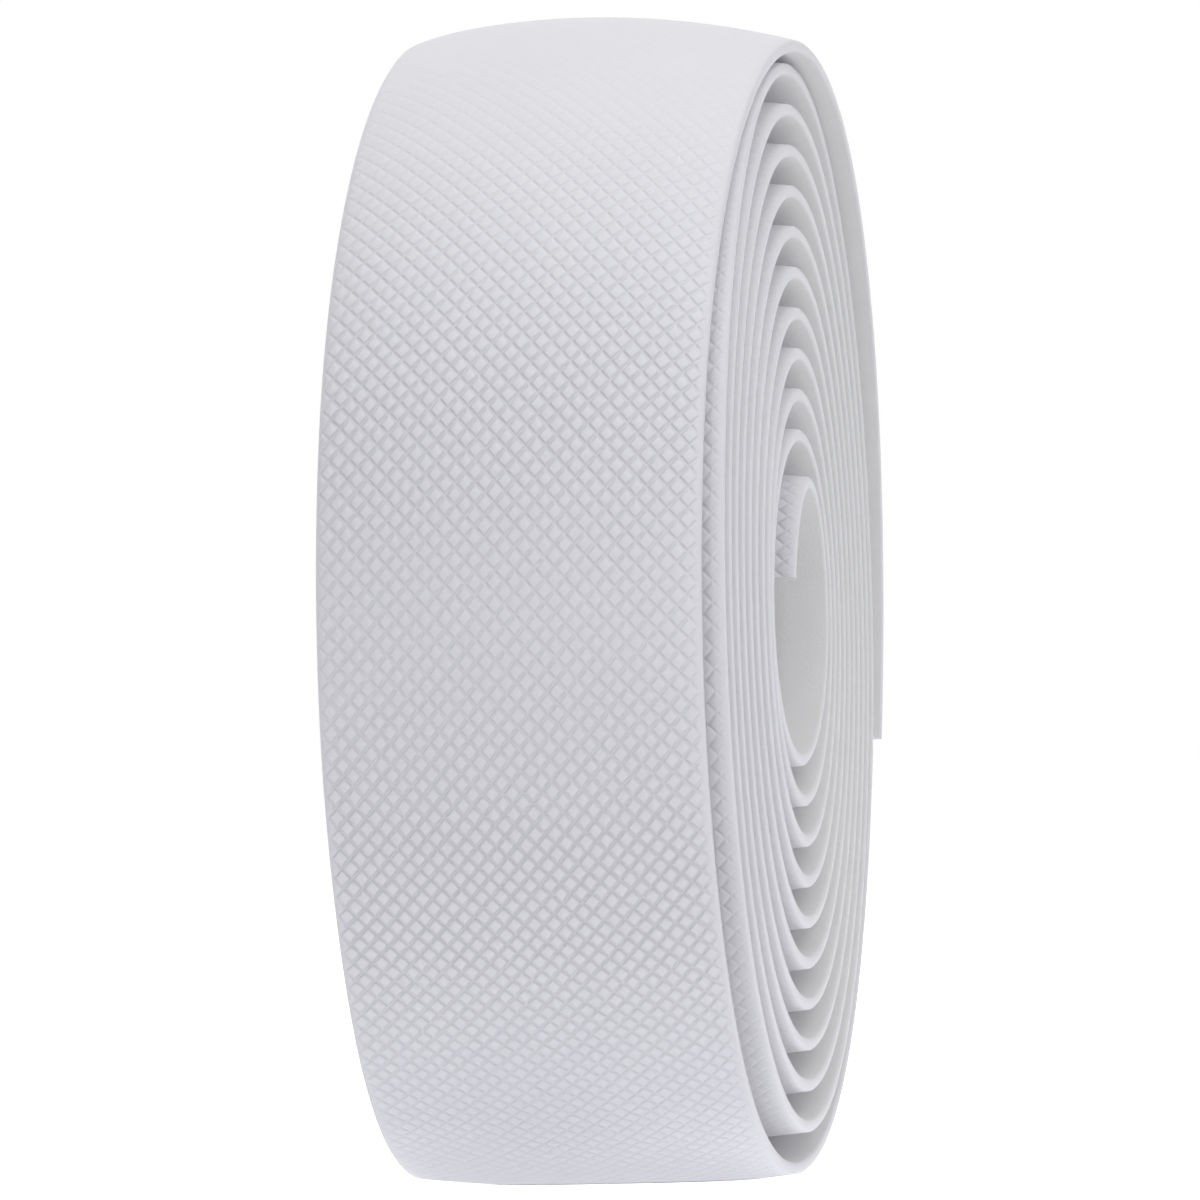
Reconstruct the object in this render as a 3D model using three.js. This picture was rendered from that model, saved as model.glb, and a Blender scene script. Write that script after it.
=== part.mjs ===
// A roll of handlebar tape, standing on its rim. Millimetres, +Z up.
// The real thing is one padded strip, about 2 m long, wound on itself with no core, so it is
// one closed solid. The roll's axis lies along X. The strip's outer end is at the back; from
// there it runs over the top (angle 0), down the front (-Y), under the roll and on inwards.
import * as THREE from 'three';

// The strip's section.
const tapeWidth = 30;
const tapeThickness = 3.13;
const edgeThickness = 1;       // the rims are skived thin, from the back
const taperWidth = 4.5;        // how far in from each rim the back is skived
const faceCrown = 0.82;        // every turn's rims lie this much nearer the axis than its middle

// The winding.
const coreRadius = 8;          // from the axis to the strip's back at its inner end
const turnGap = 0.11;          // air between one turn's face and the next turn's back
const fullTurns = 11;
const outerEndAngle = -103;    // degrees from the top, so 13 degrees below the axis at the back
const innerEndAngle = 75;      // degrees past the top, after the full turns

// What handling has done to the roll.
const topRounding = 0.98;      // the outermost turn's rims hang this much lower at the top
const topLean = 0.37;          // and its right rim this much lower still, its left rim less low
const slidLeft = 1.61;         // the front of the outermost turn has slid this far left,
const slidLeftAngles = [113, 158]; // most at the first angle, and none this far from it
const slidRight = 1.46;        // and its top and back this far right
const slidRightAngles = [-33, 105];
const dish = 0.68;             // from the outside in, each turn stands further right, this much in all
const sunk = 0.62;             // but the inmost turns have sunk back to the left,
const sunkYaw = 0.8;           // their front more and their back less
const sunkTurns = 4;
const flapCurl = 2;            // the loose inner end leans this far into the hollow
const flapProud = 1.5;         // and stands this much further right
const flapAngle = 160;         // the length of that loose end, in degrees
const flatSpotLength = 12;     // the soft foam is pressed flat where the roll stands

const stepsPerTurn = 42;       // the same angles in every turn, so that the facets nest

const pitch = tapeThickness + turnGap;
const lastAngle = fullTurns * 360 + innerEndAngle;
const halfWidth = tapeWidth / 2;

const radians = THREE.MathUtils.degToRad;

// The radius of the face's middle line.
function faceRadius(angle) {
  return coreRadius + tapeThickness + pitch * (lastAngle - angle) / 360;
}

const standRadius = faceRadius(180);
const flatSpotHalfAngle = THREE.MathUtils.radToDeg(Math.asin(flatSpotLength / 2 / standRadius));
const standHeight = standRadius * Math.cos(radians(flatSpotHalfAngle));

// How far along the axis the strip's middle line lies.
function sideOffset(angle) {
  const slid = slidRight * hump(angle, slidRightAngles) - slidLeft * hump(angle, slidLeftAngles);
  const dished = dish * THREE.MathUtils.clamp(angle / lastAngle, 0, 1);
  const nearCentre = THREE.MathUtils.clamp(1 - (lastAngle - angle) / (sunkTurns * 360), 0, 1);
  const sunkHere = (sunk + sunkYaw * Math.sin(radians(angle))) * nearCentre ** 2;
  return slid + dished - sunkHere + flapProud * looseEnd(angle);
}

// 1 at the middle angle, falling smoothly to 0 at the reach on both sides of it.
function hump(angle, [middle, reach]) {
  const share = Math.min(Math.abs(angle - middle) / reach, 1);
  return Math.cos(share * Math.PI / 2) ** 2;
}

// 0 on the wound strip, rising to 1 at the loose inner end.
function looseEnd(angle) {
  return THREE.MathUtils.smoothstep(angle, lastAngle - flapAngle, lastAngle);
}

// 1 at the top of the outermost turn, 0 where it meets the floor and on all inner turns.
function topWeight(angle) {
  return Math.abs(angle) < 180 ? Math.cos(radians(angle) / 2) ** 2 : 0;
}

// How much lower than its middle the outermost turn's face hangs, beyond the crown.
function rounding(across, angle) {
  const share = across / halfWidth;
  return topWeight(angle) * (topRounding * share ** 2 + topLean * share);
}

// How far the skived back lies above a full-thickness one, across the width.
function backLift(across) {
  const share = THREE.MathUtils.clamp((Math.abs(across) - halfWidth + taperWidth) / taperWidth, 0, 1);
  return (tapeThickness - edgeThickness) * (1 - Math.cos(share * Math.PI)) / 2;
}

// A point in space from its angle about the axis, its radius and its place along the axis.
function polar(along, radius, angle) {
  const a = radians(angle);
  return new THREE.Vector3(along, -radius * Math.sin(a), radius * Math.cos(a));
}

// The strip's section at one angle: its face from left to right, then its back from right to left.
function section(angle) {
  const offset = sideOffset(angle);
  const middle = faceRadius(angle) - flapCurl * looseEnd(angle) ** 2;
  const skiveStart = halfWidth - taperWidth;
  const skiveMiddle = halfWidth - taperWidth / 2;
  const faceRows = [-halfWidth, -skiveStart, 0, skiveStart, halfWidth];
  const backRows = [halfWidth, skiveMiddle, skiveStart, 0, -skiveStart, -skiveMiddle, -halfWidth];
  const onFlatSpot = Math.abs(angle - 180) < flatSpotHalfAngle + 1e-6;
  const crown = (across) => onFlatSpot ? 0 : faceCrown * ((across + offset) / halfWidth) ** 2;

  const face = faceRows.map((across) => {
    const point = polar(offset + across, middle - crown(across) - rounding(across, angle), angle);
    if (onFlatSpot) point.z = -standHeight;
    return point;
  });
  const back = backRows.map((across) => {
    const lift = Math.max(backLift(across) - rounding(across, angle), 0);
    return polar(offset + across, middle - tapeThickness + lift - crown(across), angle);
  });
  return [...face, ...back];
}

// The angles at which sections stand. Two steps span the flat spot, and equal steps the rest.
function sectionAngles() {
  const step = (360 - 2 * flatSpotHalfAngle) / (stepsPerTurn - 2);
  const inTurn = [-flatSpotHalfAngle, 0, flatSpotHalfAngle];
  for (let i = 1; i < stepsPerTurn - 2; i += 1) {
    inTurn.push(flatSpotHalfAngle + i * step);
  }
  const angles = [outerEndAngle, lastAngle];
  const shortest = step / 4;
  for (let turn = -1; turn <= fullTurns + 1; turn += 1) {
    for (const part of inTurn) {
      const angle = turn * 360 + 180 + part;
      const inside = angle > outerEndAngle + shortest && angle < lastAngle - shortest;
      if (inside) angles.push(angle);
    }
  }
  return angles.sort((a, b) => a - b);
}

// Joins sections of equal length into one closed skin, with a flat cap at each end.
function loft(sections) {
  const count = sections[0].length;
  const positions = sections.flat().flatMap((point) => point.toArray());
  const faces = [];
  for (let i = 0; i + 1 < sections.length; i += 1) {
    for (let j = 0; j < count; j += 1) {
      const a = i * count + j;
      const b = i * count + (j + 1) % count;
      faces.push(a, b + count, b, a, a + count, b + count);
    }
  }
  const last = (sections.length - 1) * count;
  for (const [a, b, c] of capTriangles(sections[0])) {
    faces.push(a, b, c);
  }
  for (const [a, b, c] of capTriangles(sections[sections.length - 1])) {
    faces.push(last + a, last + c, last + b);
  }
  const geometry = new THREE.BufferGeometry();
  geometry.setAttribute('position', new THREE.Float32BufferAttribute(positions, 3));
  geometry.setIndex(faces);
  geometry.computeVertexNormals();
  return geometry;
}

// A section lies in a plane through the axis, so its place along X and its radius are enough.
// The triangles run the same way round as the section itself.
function capTriangles(points) {
  const outline = points.map((point) => new THREE.Vector2(point.x, Math.hypot(point.y, point.z)));
  const clockwise = THREE.ShapeUtils.isClockWise(outline);
  return THREE.ShapeUtils.triangulateShape(outline, []).map(([a, b, c]) => {
    const area = THREE.ShapeUtils.area([outline[a], outline[b], outline[c]]);
    return (area < 0) === clockwise ? [a, b, c] : [a, c, b];
  });
}

// Smooth, faintly cool white polyurethane over foam.
function tapeMaterial() {
  return new THREE.MeshStandardMaterial({ color: 0xe4e5ea, roughness: 0.6, metalness: 0 });
}

const tape = new THREE.Mesh(loft(sectionAngles().map(section)), tapeMaterial());
tape.name = 'handlebar_tape';

// The origin is at the middle of the roll's box, on the floor.
tape.geometry.computeBoundingBox();
const box = tape.geometry.boundingBox;
tape.position.set(-(box.min.x + box.max.x) / 2, -(box.min.y + box.max.y) / 2, -box.min.z);

const roll = new THREE.Group();
roll.add(tape);

export default roll;
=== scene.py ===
"""A roll of white handlebar tape, standing on its rim. Blender 4.5, metres."""

import math

import bpy
import numpy as np
from mathutils import Matrix, Vector


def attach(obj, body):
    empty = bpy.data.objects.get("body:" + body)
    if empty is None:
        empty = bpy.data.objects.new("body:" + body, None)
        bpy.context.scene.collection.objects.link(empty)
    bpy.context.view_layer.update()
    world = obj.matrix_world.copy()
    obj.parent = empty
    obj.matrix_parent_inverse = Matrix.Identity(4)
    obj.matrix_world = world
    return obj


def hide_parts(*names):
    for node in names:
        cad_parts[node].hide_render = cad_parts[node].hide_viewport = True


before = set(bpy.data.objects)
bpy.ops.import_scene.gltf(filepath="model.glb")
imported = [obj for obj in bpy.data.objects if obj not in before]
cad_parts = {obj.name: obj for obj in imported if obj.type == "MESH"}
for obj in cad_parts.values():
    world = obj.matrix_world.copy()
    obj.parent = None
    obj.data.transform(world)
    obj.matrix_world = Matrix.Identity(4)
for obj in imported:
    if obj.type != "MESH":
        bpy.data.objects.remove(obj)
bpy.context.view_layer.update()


# The tape: one strip of padded bar tape 30 mm wide, foam with a thin polyurethane skin bonded to
# it, skived from the back to 1 mm at its rims. It is wound on itself in an open spiral with no
# core, nothing holds it but its own tension, and it stands on its rim.

# Its form. The sizes are the CAD solid's, in mm and degrees. Angle 0 is the top, 90 the front.
MM = 0.001
TAPE_WIDTH = 30.0
HALF_WIDTH = TAPE_WIDTH / 2
TAPE_THICKNESS = 3.13
EDGE_THICKNESS = 1.0
TAPER_WIDTH = 4.5
FACE_CROWN = 0.82              # every turn's rims lie this much nearer the axis than its middle
CORE_RADIUS = 8.0
TURN_GAP = 0.11
PITCH = TAPE_THICKNESS + TURN_GAP
OUTER_END_ANGLE = -103.0
LAST_ANGLE = 11 * 360 + 75.0
SLID_LEFT = 1.61               # the outermost turn's front has slid left
SLID_LEFT_ANGLES = (113.0, 158.0)
SLID_RIGHT = 1.46              # and its top and back have slid right
SLID_RIGHT_ANGLES = (-33.0, 105.0)
DISH = 0.68                    # the inner turns stand further right
SUNK = 0.62                    # but the inmost ones have sunk back
SUNK_YAW = 0.8                 # their front more and their back less
SUNK_TURNS = 4
FLAP_CURL = 2.0                # the loose inner end leans into the hollow
FLAP_PROUD = 1.5
FLAP_ANGLE = 160.0
FLAT_SPOT_LENGTH = 12.0        # the foam is pressed flat where the roll stands
TOP_ROUNDING = 0.98            # the outermost turn's rims hang lower at the top
TOP_LEAN = 0.37                # and its right rim lower than its left

# Small bends of the soft strip that the CAD solid leaves out.
TOP_CORNER = 0.4               # the left rim turns down more sharply at the top
FRONT_DROOP = 0.9              # the thin right rim bends in at the front
FRONT_DROOP_ANGLES = (95.0, 95.0)
CORNER_POWER = 8               # both bends lie close to the rim
LESS_CROWNED = 0.7             # the share of the crown that is gone on both sides of the foot,
LESS_CROWNED_ANGLES = (32.0, 34.0)  # most this far from it


def smoothstep(x, low, high):
    t = np.clip((x - low) / (high - low), 0, 1)
    return t * t * (3 - 2 * t)


def hump(angle, middle, reach):
    """1 at the middle angle, falling smoothly to 0 at the reach on both sides of it."""
    share = np.minimum(np.abs(angle - middle) / reach, 1)
    return np.cos(share * math.pi / 2) ** 2


def face_radius(angle):
    return CORE_RADIUS + TAPE_THICKNESS + PITCH * (LAST_ANGLE - angle) / 360


def loose_end(angle):
    """0 on the wound strip, rising to 1 at its loose inner end."""
    return smoothstep(angle, LAST_ANGLE - FLAP_ANGLE, LAST_ANGLE)


def side_offset(angle):
    """How far along the axis the strip's middle line lies."""
    slid = SLID_RIGHT * hump(angle, *SLID_RIGHT_ANGLES) - SLID_LEFT * hump(angle, *SLID_LEFT_ANGLES)
    dished = DISH * np.clip(angle / LAST_ANGLE, 0, 1)
    near_centre = np.clip(1 - (LAST_ANGLE - angle) / (SUNK_TURNS * 360), 0, 1)
    sunk = (SUNK + SUNK_YAW * np.sin(np.radians(angle))) * near_centre ** 2
    return slid + dished - sunk + FLAP_PROUD * loose_end(angle)


def rounding(across, angle):
    """How much lower than its middle the outermost turn's face hangs, beyond the crown."""
    at_top = np.where(np.abs(angle) < 180, np.cos(np.radians(angle) / 2) ** 2, 0)
    at_front = np.where(angle < 200, hump(angle, *FRONT_DROOP_ANGLES), 0)
    share = across / HALF_WIDTH
    corner = TOP_CORNER * np.clip(-share, 0, 1) ** CORNER_POWER
    droop = FRONT_DROOP * at_front * np.clip(share, 0, 1) ** CORNER_POWER
    return at_top * (TOP_ROUNDING * share ** 2 + TOP_LEAN * share + corner) + droop


def back_depth(across, angle):
    """How far the back lies under the face: all of the foam, less what the skiving took."""
    share = np.clip((np.abs(across) - HALF_WIDTH + TAPER_WIDTH) / TAPER_WIDTH, 0, 1)
    skived = (TAPE_THICKNESS - EDGE_THICKNESS) * (1 - np.cos(share * math.pi)) / 2
    hanging = rounding(across, angle)
    return TAPE_THICKNESS - hanging - np.maximum(skived - hanging, 0)


OUTER_RADIUS = face_radius(OUTER_END_ANGLE)
SHRINK = PITCH / math.tau      # what the radius loses for each radian
ALL_TURNS = math.radians(LAST_ANGLE - OUTER_END_ANGLE)
STRIP_LENGTH = OUTER_RADIUS * ALL_TURNS - SHRINK * ALL_TURNS ** 2 / 2
STAND_HEIGHT = math.sqrt(face_radius(180.0) ** 2 - (FLAT_SPOT_LENGTH / 2) ** 2)


def angle_at(run):
    """The angle at a length along the strip's face, from its outer end: the spiral unrolled."""
    turned = (OUTER_RADIUS - np.sqrt(OUTER_RADIUS ** 2 - 2 * SHRINK * run)) / SHRINK
    return OUTER_END_ANGLE + np.degrees(turned)


def roll_axis():
    """Where the roll's axis lies: over the middle of the CAD solid's flat spot."""
    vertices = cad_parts["handlebar_tape"].data.vertices
    floor = np.array([v.co for v in vertices if v.co.z < 0.01 * MM]) / MM
    middle = (floor.min(0) + floor.max(0)) / 2
    return np.array([middle[0] - side_offset(180.0), middle[1], STAND_HEIGHT])


# The emboss in its skin: small raised diamonds between thin grooves, a little askew to the strip.
# Half a diamond is one step of a grid. The diamonds' middles stand on its even corners, and
# the grooves cross on its odd ones. Where turns cover the face, only its margins are embossed.
STEPS_ACROSS = 38
DIAMOND_LENGTH = 1.75
DIAMONDS_ALONG = round(STRIP_LENGTH / DIAMOND_LENGTH)
STEP_LENGTH = STRIP_LENGTH / DIAMONDS_ALONG / 2
EMBOSS_SLANT = math.tan(math.radians(1.6))
GROOVE_DEPTH = 0.095
PAD_SHARE = 0.74               # a pad's flat top, as a share of the whole diamond
LEFT_MARGIN = 2                # the margins' widths in grid steps
RIGHT_MARGIN = 3
COVERED_ANGLE = 262.0          # from here on the face is plain, as another turn lies on it
EMBOSSED_HALF = 14.85          # the grid reaches this far from the strip's middle line,
EMBOSS_FADE = (14.5, 14.84)    # and its grooves stop just short of that
RIM_ROUND = 0.15

# How much deeper or shallower the grooves are in places: share, middle angle, reach.
DEPTH_CHANGES = [
    (-0.95, 12.0, 62.0),       # rubbed nearly flat on the roll's top
    (-0.65, 177.0, 46.0),      # pressed at its foot
    (0.3, 70.0, 22.0),         # crisp above the middle of the front
    (0.4, 118.0, 30.0),        # and below it
    (0.3, 450.0, 75.0)]        # less pressed where the second turn looks out beside the first
UNDER_TURNS_CHANGE = -0.8      # pressed nearly flat by the turns over it
UNDER_TURNS_ANGLES = (245.0, 300.0)
LOOSE_END_CHANGE = 0.3         # less so on the loose inner end


def depth_share(angle):
    """How deep the emboss is, as a share of GROOVE_DEPTH."""
    share = 1 + UNDER_TURNS_CHANGE * smoothstep(angle, *UNDER_TURNS_ANGLES)
    share = share + LOOSE_END_CHANGE * loose_end(angle)
    return share + sum(change * hump(angle, *where) for change, *where in DEPTH_CHANGES)


def wound(across, run, depth, from_back):
    """Points of the wound strip in mm. Depth counts from the face, or outwards from the back."""
    angle = angle_at(run)
    turn = np.radians(angle)
    depth = np.where(np.abs(across) < EMBOSSED_HALF, depth * depth_share(angle), depth)
    depth = np.where(from_back, back_depth(across, angle) - depth, depth)
    along = side_offset(angle) + across
    settled = 1 - LESS_CROWNED * hump(np.abs(angle - 180), *LESS_CROWNED_ANGLES)
    crown = FACE_CROWN * settled * (along / HALF_WIDTH) ** 2
    radius = face_radius(angle) - FLAP_CURL * loose_end(angle) ** 2 - depth
    radius = radius - crown - rounding(across, angle)
    x, y, z = roll_axis()
    points = np.stack([x + along, y - radius * np.sin(turn), z + radius * np.cos(turn)], 1)
    on_floor = np.minimum(depth, GROOVE_DEPTH)
    points[:, 2] = np.maximum(points[:, 2], on_floor)
    return points


class Strip:
    """Collects the strip's points and faces. A point asked for twice is the same point."""

    def __init__(self):
        self.numbers = {}
        self.faces = []
        self.is_foam = []
        self.is_crisp = []

    def at(self, across, step, depth=0.0, from_back=False):
        place = (round(across, 4), round(step, 4), depth, from_back)
        return self.numbers.setdefault(place, len(self.numbers))

    def add(self, corners, turned_over=False, foam=False, crisp=False):
        self.faces.append(corners[::-1] if turned_over else corners)
        self.is_foam.append(foam)
        self.is_crisp.append(crisp)


def column(m):
    """A grid column's place across the face, in mm."""
    return (m / STEPS_ACROSS * 2 - 1) * EMBOSSED_HALF


def groove_depth(across):
    return float(GROOVE_DEPTH * (1 - smoothstep(abs(across), *EMBOSS_FADE)))


def grid_line(strip, m, q, along, steps):
    """The points on one line of the grid: its corners, and the pads' edges between them."""
    points = []
    for i in range(steps + 1):
        raised = (m + q + i) % 2 == 0
        places = [(i, raised)]
        if i < steps:
            places.append((i + (PAD_SHARE if raised else 1 - PAD_SHARE), True))
        for way, on_pad in places:
            across = column(m if along else m + way)
            step = q + way if along else q
            points.append(strip.at(across, step, 0.0 if on_pad else groove_depth(across)))
    return points


def emboss_square(strip, m, q):
    """One square of the grid: a quarter of two pads, and the groove between them."""
    crossed = (m + q) % 2
    for far in (0, 1):
        side, ahead = (-1 if far != crossed else 1), (-1 if far else 1)
        pad_m, pad_q = (m + 1 if side < 0 else m), q + far
        pad_side = strip.at(column(pad_m + side * PAD_SHARE), pad_q)
        pad_ahead = strip.at(column(pad_m), pad_q + ahead * PAD_SHARE)
        groove_side, groove_ahead = [
            strip.at(across, step, groove_depth(across))
            for across, step in ((column(pad_m + side), pad_q), (column(pad_m), pad_q + ahead))]
        turned_over = side * ahead < 0
        middle = strip.at(column(pad_m), pad_q)
        strip.add([middle, pad_ahead, pad_side], turned_over, crisp=True)
        strip.add([pad_ahead, groove_ahead, groove_side, pad_side], turned_over, crisp=True)


def join_rows(strip, fine, coarse, turned_over=False):
    """Triangles between the five points of a grid line and the two of a plain row."""
    start, end = coarse
    for corners in ([fine[0], fine[1], start], [fine[1], fine[2], start], [fine[2], end, start],
                    [fine[2], fine[3], end], [fine[3], fine[4], end]):
        strip.add(corners, turned_over)


# Rows of the plain face between the embossed margins. The middle one keeps off the grid's own
# columns, so that it shares no point with the grid where the emboss ends.
PLAIN_INSET = 2.0
PLAIN_MIDDLE = 0.4
PLAIN_ROWS = [column(LEFT_MARGIN) + PLAIN_INSET, PLAIN_MIDDLE,
              column(STEPS_ACROSS - RIGHT_MARGIN) - PLAIN_INSET]

# From the face's edge round a rim to the middle of the back: place across, depth, from the back.
TAPER_ROWS = (13.4, 12.0, 10.5)
RIM_TO_BACK = [(HALF_WIDTH, RIM_ROUND, False), (HALF_WIDTH, RIM_ROUND, True)] + [
    (across, 0.0, True) for across in (HALF_WIDTH - RIM_ROUND, *TAPER_ROWS, 0.0)]


def face_across(strip, q, covered):
    """The face's points from rim to rim at one step along the strip."""
    if not covered:
        return grid_line(strip, 0, q, False, STEPS_ACROSS)
    return (grid_line(strip, 0, q, False, LEFT_MARGIN)
            + [strip.at(across, q) for across in PLAIN_ROWS]
            + grid_line(strip, STEPS_ACROSS - RIGHT_MARGIN, q, False, RIGHT_MARGIN))


def add_face(strip, q, covered):
    """One diamond's length of the face."""
    left, right = LEFT_MARGIN, STEPS_ACROSS - RIGHT_MARGIN
    columns = [*range(left), *range(right, STEPS_ACROSS)] if covered else range(STEPS_ACROSS)
    for m in columns:
        emboss_square(strip, m, q)
        emboss_square(strip, m, q + 1)
    if covered:
        rows = [[strip.at(across, q), strip.at(across, q + 2)] for across in PLAIN_ROWS]
        join_rows(strip, grid_line(strip, left, q, True, 2), rows[0])
        join_rows(strip, grid_line(strip, right, q, True, 2), rows[2], turned_over=True)
        for a, b in zip(rows, rows[1:]):
            strip.add([a[0], a[1], b[1], b[0]])


def add_rims_and_back(strip, q):
    """One diamond's length of both rims, which are skin round their edge, and of the foam."""
    for side in (1, -1):
        rows = [[strip.at(side * across, step, depth, from_back) for step in (q, q + 2)]
                for across, depth, from_back in RIM_TO_BACK]
        edge = grid_line(strip, STEPS_ACROSS if side > 0 else 0, q, True, 2)
        join_rows(strip, edge, rows[0], turned_over=side < 0)
        for i, (a, b) in enumerate(zip(rows, rows[1:])):
            strip.add([a[0], a[1], b[1], b[0]], turned_over=side < 0, foam=i > 0)


def add_end(strip, q, covered, turned_over):
    """A cut end: the strip's whole section."""
    right, left = [[strip.at(side * across, q, depth, from_back)
                    for across, depth, from_back in RIM_TO_BACK] for side in (1, -1)]
    strip.add(face_across(strip, q, covered) + right + left[-2::-1], turned_over, foam=True)


def close_emboss(strip, q):
    """The low step where the emboss gives way to the plain face."""
    first, last = 2 * LEFT_MARGIN, -2 * RIGHT_MARGIN
    fine, plain = face_across(strip, q, False), face_across(strip, q, True)
    strip.add(fine[first:last] + plain[first + 1:last - 1][::-1], turned_over=True)


def build_strip():
    strip = Strip()
    steps = np.arange(0, 2 * DIAMONDS_ALONG, 2)
    covered = angle_at(steps * STEP_LENGTH) > COVERED_ANGLE
    for q, under in zip(steps.tolist(), covered.tolist()):
        add_face(strip, q, under)
        add_rims_and_back(strip, q)
    close_emboss(strip, int(steps[covered.argmax()]))
    add_end(strip, 0, False, turned_over=False)
    add_end(strip, 2 * DIAMONDS_ALONG, True, turned_over=True)
    return strip


def srgb(code):
    """A hex colour such as "D8D8DD" as linear RGBA."""
    parts = [int(code[i:i + 2], 16) / 255 for i in (0, 2, 4)]
    linear = [c / 12.92 if c <= 0.04045 else ((c + 0.055) / 1.055) ** 2.4 for c in parts]
    return (*linear, 1.0)


def node(tree, kind, settings=None, **links):
    """Adds a shader node. Settings are attributes. Links are sockets or values, by the input's
    name, or by i and its number."""
    new = tree.nodes.new("ShaderNode" + kind)
    for key, value in (settings or {}).items():
        setattr(new, key, value)
    for key, value in links.items():
        socket = new.inputs[int(key[1:]) if key[1:].isdigit() else key.replace("_", " ")]
        if isinstance(value, bpy.types.NodeSocket):
            tree.links.new(value, socket)
        else:
            socket.default_value = value
    return new


# Polyurethane skin, embossed hot: a soft satin white, faintly cool, that shows no clear highlight,
# only a light upper edge and a grey lower one on each diamond. Sizes are in mm.
SKIN_COLOURS = ("D8D8DD", "DEDEE3")
SKIN_PATCH = 17.0              # faint uneven patches of the two colours
SKIN_LUMP = 1.1                # the skin follows the foam under it
PAD_BUMP = 0.08                # the bump that rounds each pad's edge
PAD_EDGE = 0.62                # where that edge starts, 0 at a pad's middle and 1 in a groove
LUMP_SHARE = 0.5               # the lumps' height, as a share of the pads'


def skin_material():
    material = bpy.data.materials.new("embossed_polyurethane_skin")
    material.use_nodes = True
    tree = material.node_tree
    shader = tree.nodes["Principled BSDF"]
    place = node(tree, "TexCoord").outputs["Object"]
    tone = node(tree, "TexNoise", None, Vector=place, Scale=1 / (SKIN_PATCH * MM), Detail=3.0)
    mix = node(tree, "Mix", {"data_type": "RGBA"}, Factor=tone.outputs["Fac"],
               i6=srgb(SKIN_COLOURS[0]), i7=srgb(SKIN_COLOURS[1]))
    tree.links.new(mix.outputs[2], shader.inputs["Base Color"])

    # The mesh carries its place in the emboss's grid, so the pads' edges follow the real grooves.
    grid = node(tree, "SeparateXYZ", None,
                i0=node(tree, "Attribute", {"attribute_name": "emboss_grid"}).outputs["Vector"])
    m, q, share = grid.outputs
    ways = [node(tree, "Math", {"operation": "PINGPONG"}, i1=1.0,
                 i0=node(tree, "Math", {"operation": way}, i0=m, i1=q).outputs[0]).outputs[0]
            for way in ("ADD", "SUBTRACT")]
    groove = node(tree, "Math", {"operation": "MAXIMUM"}, i0=ways[0], i1=ways[1]).outputs[0]
    pad = node(tree, "MapRange", {"interpolation_type": "SMOOTHSTEP"}, Value=groove,
               i1=PAD_EDGE, i2=1.0, i3=1.0, i4=0.0).outputs[0]
    pads = node(tree, "Math", {"operation": "MULTIPLY"}, i0=pad, i1=share).outputs[0]
    lumps = node(tree, "TexNoise", None, Vector=place, Scale=1 / (SKIN_LUMP * MM),
                 Detail=2.0).outputs["Fac"]
    surface = node(tree, "Math", {"operation": "MULTIPLY_ADD"}, i0=lumps, i1=LUMP_SHARE,
                   i2=pads).outputs[0]
    bump = node(tree, "Bump", None, Height=surface, Strength=1.0, Distance=PAD_BUMP * MM)
    tree.links.new(bump.outputs["Normal"], shader.inputs["Normal"])
    shader.inputs["Roughness"].default_value = 0.58
    shader.inputs["IOR"].default_value = 1.5
    return material


# EVA foam, cut by a skiving machine: a matt white, a little warmer than the skin, with fine cut
# cells. Real ones are 0.1 to 0.2 mm wide, and are drawn a little coarser so that they show.
FOAM_COLOURS = ("D8D8D9", "DFDFE0")
FOAM_PATCH = 2.5
FOAM_CELL = 0.22
CELL_BUMP = 0.05
CUT_ANGLE = 80                 # in degrees: an edge that turns more, such as a cut end's, is sharp


def foam_material():
    material = bpy.data.materials.new("skived_white_foam")
    material.use_nodes = True
    tree = material.node_tree
    shader = tree.nodes["Principled BSDF"]
    place = node(tree, "TexCoord").outputs["Object"]
    cells = node(tree, "TexVoronoi", None, Vector=place, Scale=1 / (FOAM_CELL * MM))
    tone = node(tree, "TexNoise", None, Vector=place, Scale=1 / (FOAM_PATCH * MM), Detail=4.0)
    mix = node(tree, "Mix", {"data_type": "RGBA"}, Factor=tone.outputs["Fac"],
               i6=srgb(FOAM_COLOURS[0]), i7=srgb(FOAM_COLOURS[1]))
    tree.links.new(mix.outputs[2], shader.inputs["Base Color"])
    bump = node(tree, "Bump", None, Height=cells.outputs["Distance"], Strength=0.4,
                Distance=CELL_BUMP * MM)
    tree.links.new(bump.outputs["Normal"], shader.inputs["Normal"])
    shader.inputs["Roughness"].default_value = 0.8
    shader.inputs["IOR"].default_value = 1.45
    return material


def make_tape():
    strip = build_strip()
    across, step, depth, from_back = np.array(list(strip.numbers)).T
    run = step * STEP_LENGTH - across * EMBOSS_SLANT
    points = wound(across, run, depth, from_back > 0) * MM
    mesh = bpy.data.meshes.new("handlebar_tape_strip")
    mesh.from_pydata(points.tolist(), [], strip.faces)
    mesh.materials.append(skin_material())
    mesh.materials.append(foam_material())
    mesh.polygons.foreach_set("material_index", np.array(strip.is_foam, np.int32))
    mesh.polygons.foreach_set("use_smooth", ~np.array(strip.is_crisp))
    mesh.set_sharp_from_angle(angle=math.radians(CUT_ANGLE))
    grid = mesh.attributes.new("emboss_grid", "FLOAT_VECTOR", "POINT")
    columns = (across / EMBOSSED_HALF + 1) * STEPS_ACROSS / 2
    share = (1 - smoothstep(np.abs(across), *EMBOSS_FADE)) * depth_share(angle_at(run))
    grid.data.foreach_set("vector", np.stack([columns, step, share], 1).ravel())
    mesh.update()
    piece = bpy.data.objects.new("tape_strip", mesh)
    bpy.context.scene.collection.objects.link(piece)
    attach(piece, "root")
    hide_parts("handlebar_tape")


make_tape()


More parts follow.
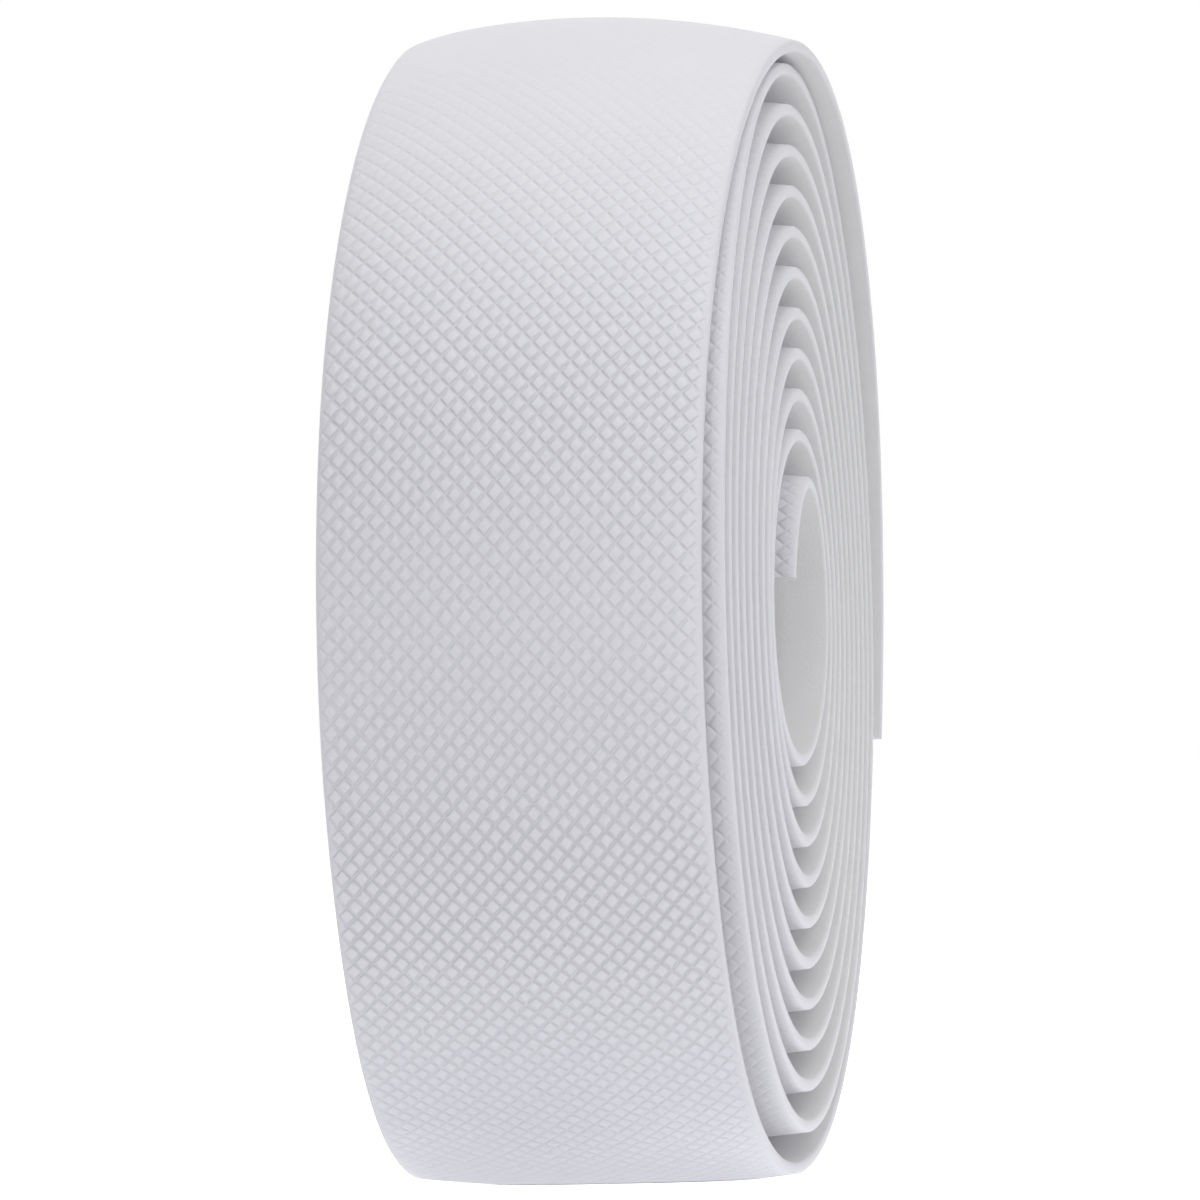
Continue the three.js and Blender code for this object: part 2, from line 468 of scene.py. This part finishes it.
# The floor: a plain sheet of matt white paper, lying flat. What sees it directly, or mirrored,
# sees it glowing white, a little less so near the roll's foot, where the roll's shadow stays.

FLOOR_HALF = 3.0
NEAR, FAR = 0.05, 0.16         # from the roll's middle, in metres
NEAR_GLARE, FAR_GLARE = 0.93, 1.0


def seen_directly(tree):
    """1 for what the camera sees, also by reflection or through something clear."""
    path = node(tree, "LightPath")
    mirrored = node(tree, "Math", {"operation": "MAXIMUM"}, i0=path.outputs["Is Camera Ray"],
                    i1=path.outputs["Is Glossy Ray"])
    return node(tree, "Math", {"operation": "MAXIMUM"}, i0=mirrored.outputs[0],
                i1=path.outputs["Is Transmission Ray"]).outputs[0]


def make_floor():
    corners = [(x * FLOOR_HALF, y * FLOOR_HALF, 0) for x, y in ((-1, -1), (1, -1), (1, 1), (-1, 1))]
    mesh = bpy.data.meshes.new("floor")
    mesh.from_pydata(corners, [], [(0, 1, 2, 3)])
    floor = bpy.data.objects.new("floor", mesh)
    bpy.context.scene.collection.objects.link(floor)
    material = bpy.data.materials.new("white_paper_sweep")
    material.use_nodes = True
    tree = material.node_tree
    paper = tree.nodes["Principled BSDF"]
    paper.inputs["Base Color"].default_value = srgb("F4F4F6")
    paper.inputs["Roughness"].default_value = 0.9
    place = node(tree, "TexCoord").outputs["Object"]
    away = node(tree, "VectorMath", {"operation": "LENGTH"}, i0=place)
    rising = node(tree, "MapRange", None, Value=away.outputs["Value"], i1=NEAR, i2=FAR,
                  i3=NEAR_GLARE, i4=FAR_GLARE)
    glare = node(tree, "Emission", None, Color=(1, 1, 1, 1), Strength=rising.outputs[0])
    dark = node(tree, "Emission", None, Color=(0, 0, 0, 1), Strength=0.0)
    seen = node(tree, "MixShader", None, i0=seen_directly(tree), i1=dark.outputs[0],
                i2=glare.outputs[0])
    both = node(tree, "AddShader", None, i0=paper.outputs["BSDF"], i1=seen.outputs[0])
    tree.links.new(both.outputs[0], tree.nodes["Material Output"].inputs["Surface"])
    mesh.materials.append(material)


make_floor()


# The light: a wide soft box overhead, one at the upper right, one behind on the left and small
# ones at the front, and weak ones on the paper that stand for its glow. The backdrop is white
# and lights nothing.

ROLL_MIDDLE = (0.0, 0.0, 0.05)
SOFTBOXES = [                  # name, place, width in metres, watts
    ("softbox_overhead", (0.0, 0.0, 1.0), 1.6, 9.5),
    ("softbox_front", (0.0, -0.7, 0.7), 0.6, 1.3),
    ("softbox_upper_right", (1.0, -0.3, 0.5), 1.4, 7.1),
    ("softbox_left", (-0.55, -0.95, 0.35), 0.6, 2.1),
    ("softbox_back_left", (-0.9, 0.9, 0.45), 1.2, 3.5)]
ON_PAPER = (0.0, 0.0, 0.03 * MM)
GLOWS = [("glow_contact", 0.05, 0.0025), ("glow_under", 0.12, 0.0095), ("glow_near", 0.3, 0.02)]


def make_backdrop():
    world = bpy.data.worlds.new("studio")
    bpy.context.scene.world = world
    world.use_nodes = True
    tree = world.node_tree
    tree.nodes.clear()
    room = node(tree, "Background", None, Color=(1, 1, 1, 1), Strength=0.0)
    backdrop = node(tree, "Background", None, Color=(1, 1, 1, 1), Strength=1.0)
    mix = node(tree, "MixShader", None, i0=seen_directly(tree), i1=room.outputs[0],
               i2=backdrop.outputs[0])
    out = node(tree, "OutputWorld")
    tree.links.new(mix.outputs[0], out.inputs["Surface"])


def make_light(name, place, target, width, watts):
    light = bpy.data.lights.new(name, "AREA")
    light.shape = "SQUARE"
    light.size = width
    light.energy = watts
    lamp = bpy.data.objects.new(name, light)
    lamp.location = place
    lamp.rotation_euler = (Vector(target) - Vector(place)).to_track_quat("-Z", "Y").to_euler()
    lamp.visible_camera = False
    bpy.context.scene.collection.objects.link(lamp)


make_backdrop()
for name, place, width, watts in SOFTBOXES:
    make_light(name, place, ROLL_MIDDLE, width, watts)
for name, width, watts in GLOWS:
    make_light(name, ON_PAPER, (0.0, 0.0, 1.0), width, watts)


# The camera: a long lens 1.4 m away, level with the roll's axis and a little towards its open
# side. The photo's frame is 1200 pixels square, and the camera leans a little to one side in it.

IMAGE = 1200
PIXELS_PER_MM = 12.53
AXIS_PIXEL = (612.6, 612.0)
AZIMUTH = math.radians(8.46)
LEAN = math.radians(1.35)
DISTANCE = 1.4
SENSOR = 36


def make_camera():
    camera_data = bpy.data.cameras.new("camera")
    camera_data.sensor_width = SENSOR
    camera_data.lens = SENSOR * PIXELS_PER_MM * DISTANCE / MM / IMAGE
    camera_data.clip_end = 20
    camera_data.shift_x = (IMAGE / 2 - AXIS_PIXEL[0]) / IMAGE
    camera_data.shift_y = (AXIS_PIXEL[1] - IMAGE / 2) / IMAGE
    camera = bpy.data.objects.new("camera", camera_data)
    towards = Vector((math.sin(AZIMUTH), -math.cos(AZIMUTH), 0))
    turned = (-towards).to_track_quat("-Z", "Y").to_matrix().to_4x4()
    centre = Vector(roll_axis() * MM)
    camera.matrix_world = (Matrix.Translation(centre + towards * DISTANCE) @ turned
                           @ Matrix.Rotation(-LEAN, 4, "Z"))
    bpy.context.scene.collection.objects.link(camera)
    bpy.context.scene.camera = camera


make_camera()
bpy.context.scene.view_settings.view_transform = "Standard"
